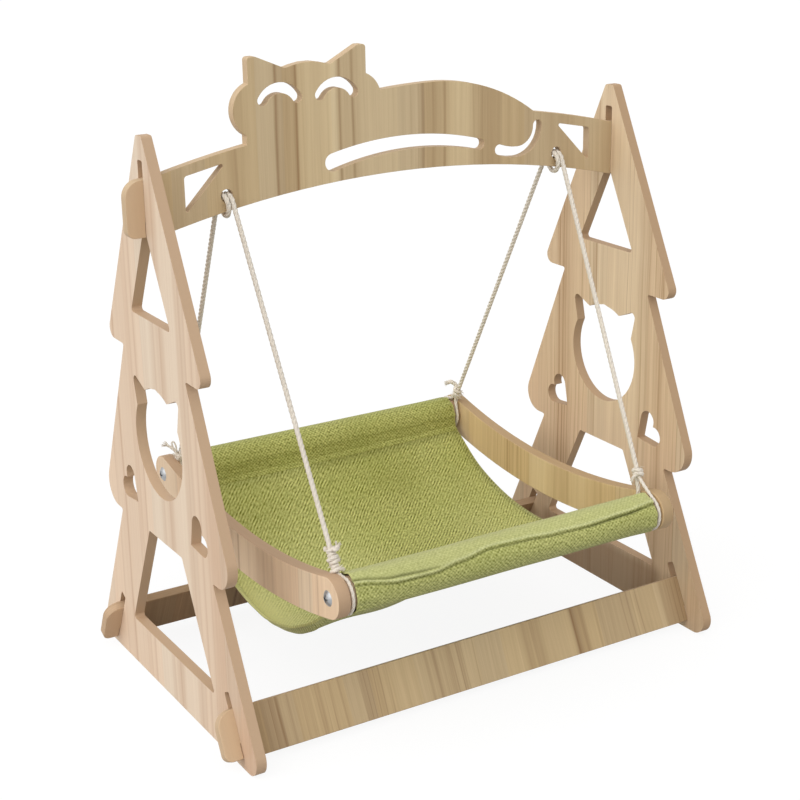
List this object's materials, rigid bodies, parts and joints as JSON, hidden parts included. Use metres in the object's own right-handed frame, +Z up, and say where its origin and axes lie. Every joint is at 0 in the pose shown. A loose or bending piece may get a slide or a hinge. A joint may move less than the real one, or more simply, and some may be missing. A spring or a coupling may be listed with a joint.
{
  "type": "cat hammock",
  "caption": "Free-standing wooden cat swing: tree-shaped side panels, a cat-shaped beam and leaning rails hook together, and a cloth sling hangs on ropes.",
  "frame": {"origin": "on the floor, midway between the side panels and midway between front and back", "axes": "+X to the right as seen from the front, +Y from front to back, +Z up"},
  "size_m": [0.545, 0.3896, 0.595],
  "materials": {
    "panel_wood": "sanded pale plywood",
    "beam_wood": "sanded tan plywood",
    "arm_wood": "sanded solid wood",
    "cloth": "ribbed green cotton",
    "rope": "twisted cream cotton",
    "zinc": "bright zinc plating"
  },
  "bodies": {
    "frame": {"left_panel": "panel_wood", "right_panel": "panel_wood", "top_beam": "beam_wood", "front_rail": "beam_wood", "back_rail": "beam_wood"},
    "swing": {"left_arm": "arm_wood", "right_arm": "arm_wood", "front_dowel": "arm_wood", "back_dowel": "arm_wood", "sling": "cloth", "left_rope": "rope", "right_rope": "rope", "front_left_knot": "rope", "front_right_knot": "rope", "back_left_knot": "rope", "back_right_knot": "rope", "front_left_screw": "zinc", "front_right_screw": "zinc", "back_left_screw": "zinc", "back_right_screw": "zinc"}
  },
  "joints": [
    {"name": "swing", "type": "hinge", "parent": "frame", "child": "swing", "pos_m": [0, 0, 0.46558], "axis": [1, 0, 0], "range_deg": [-20, 20]}
  ]
}
